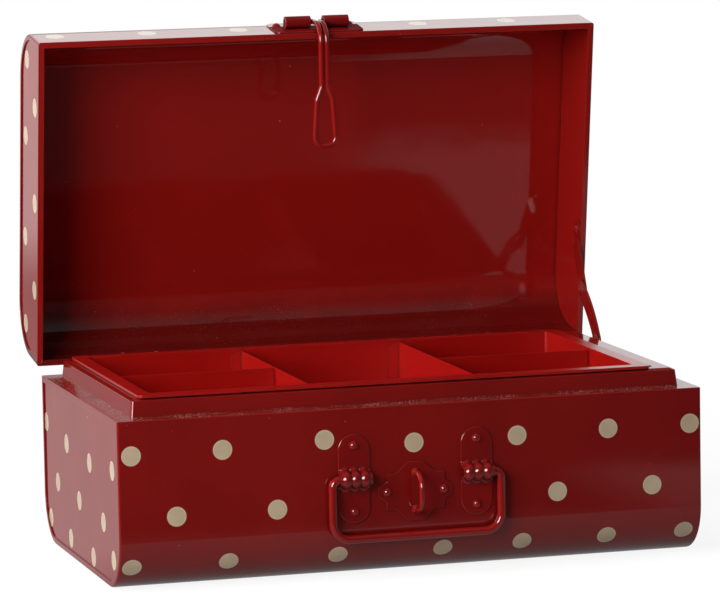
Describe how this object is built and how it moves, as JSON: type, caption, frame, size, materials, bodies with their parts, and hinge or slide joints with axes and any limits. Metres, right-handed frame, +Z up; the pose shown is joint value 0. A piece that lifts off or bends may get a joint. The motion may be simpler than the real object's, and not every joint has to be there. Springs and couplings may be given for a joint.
{
  "type": "storage suitcase",
  "caption": "Sheet-steel suitcase with rounded long edges, a hinged lid on a folding stay, a lift-out divided tray, a wire carrying handle and a hasp and staple.",
  "frame": {"origin": "middle of the base's flat underside, on the surface that the case stands on", "axes": "+X along the case to its right as one faces the handle, -Y out of the front with the handle, +Z up"},
  "size_m": [0.3, 0.2365, 0.2669],
  "materials": {
    "case_red": "gloss enamel",
    "tray_red": "satin enamel",
    "hardware_red": "gloss enamel"
  },
  "bodies": {
    "base": {"base_wrap": "case_red", "base_end_left": "case_red", "base_end_right": "case_red", "collar_front": "case_red", "collar_back": "case_red", "collar_left": "case_red", "collar_right": "case_red", "handle_saddle_left": "hardware_red", "handle_saddle_right": "hardware_red", "handle_rivets": "hardware_red", "lock_plate": "hardware_red", "lock_plate_rivets": "hardware_red", "lock_staple": "hardware_red", "hinge_base_leaf_left": "hardware_red", "hinge_base_leaf_right": "hardware_red", "hinge_base_rivets": "hardware_red", "hinge_pin_left": "hardware_red", "hinge_pin_right": "hardware_red", "stay_foot_rivet": "hardware_red"},
    "lid": {"lid_wrap": "case_red", "lid_end_left": "case_red", "lid_end_right": "case_red", "hinge_lid_leaf_left": "hardware_red", "hinge_lid_leaf_right": "hardware_red", "hinge_lid_rivets": "hardware_red", "hasp_plate": "hardware_red", "hasp_plate_rivets": "hardware_red", "stay_lid_rivet": "hardware_red"},
    "tray": {"tray_shell": "tray_red", "tray_divider_left": "tray_red", "tray_divider_right": "tray_red", "tray_partition_left": "tray_red", "tray_partition_right": "tray_red"},
    "handle": {"carrying_handle": "hardware_red"},
    "hasp": {"hasp_loop": "hardware_red"},
    "stay_upper": {"stay_upper_arm": "hardware_red"},
    "stay_lower": {"stay_lower_arm": "hardware_red", "stay_elbow_rivet": "hardware_red"}
  },
  "joints": [
    {"name": "lid_hinge", "type": "hinge", "parent": "base", "child": "lid", "pos_m": [0, 0.0927, 0.081], "axis": [1, 0, 0], "range_deg": [0, 81.75]},
    {"name": "tray_lift", "type": "slide", "parent": "base", "child": "tray", "axis": [0, 0, 1], "range_m": [0, 0.028]},
    {"name": "handle_swing", "type": "hinge", "parent": "base", "child": "handle", "pos_m": [0, -0.08945, 0.05015], "axis": [-1, 0, 0], "range_deg": [0, 120]},
    {"name": "hasp_swing", "type": "hinge", "parent": "lid", "child": "hasp", "pos_m": [0, 0.08075, 0.26378], "axis": [-1, 0, 0], "range_deg": [-1, 82.75]},
    {"name": "stay_upper_swing", "type": "hinge", "parent": "lid", "child": "stay_upper", "pos_m": [0.1464, 0.09761, 0.14608], "axis": [1, 0, 0], "range_deg": [-1, 91.39]},
    {"name": "stay_lower_swing", "type": "hinge", "parent": "base", "child": "stay_lower", "pos_m": [0.1454, 0.058, 0.0906], "axis": [1, 0, 0], "range_deg": [-1, 63.8]}
  ],
  "couplings": [
    {"joint": "hasp_swing", "follows": "lid_hinge", "ratio": 1},
    {"joint": "stay_upper_swing", "follows": "lid_hinge", "ratio": 1.1057},
    {"joint": "stay_lower_swing", "follows": "lid_hinge", "ratio": 0.76821}
  ]
}
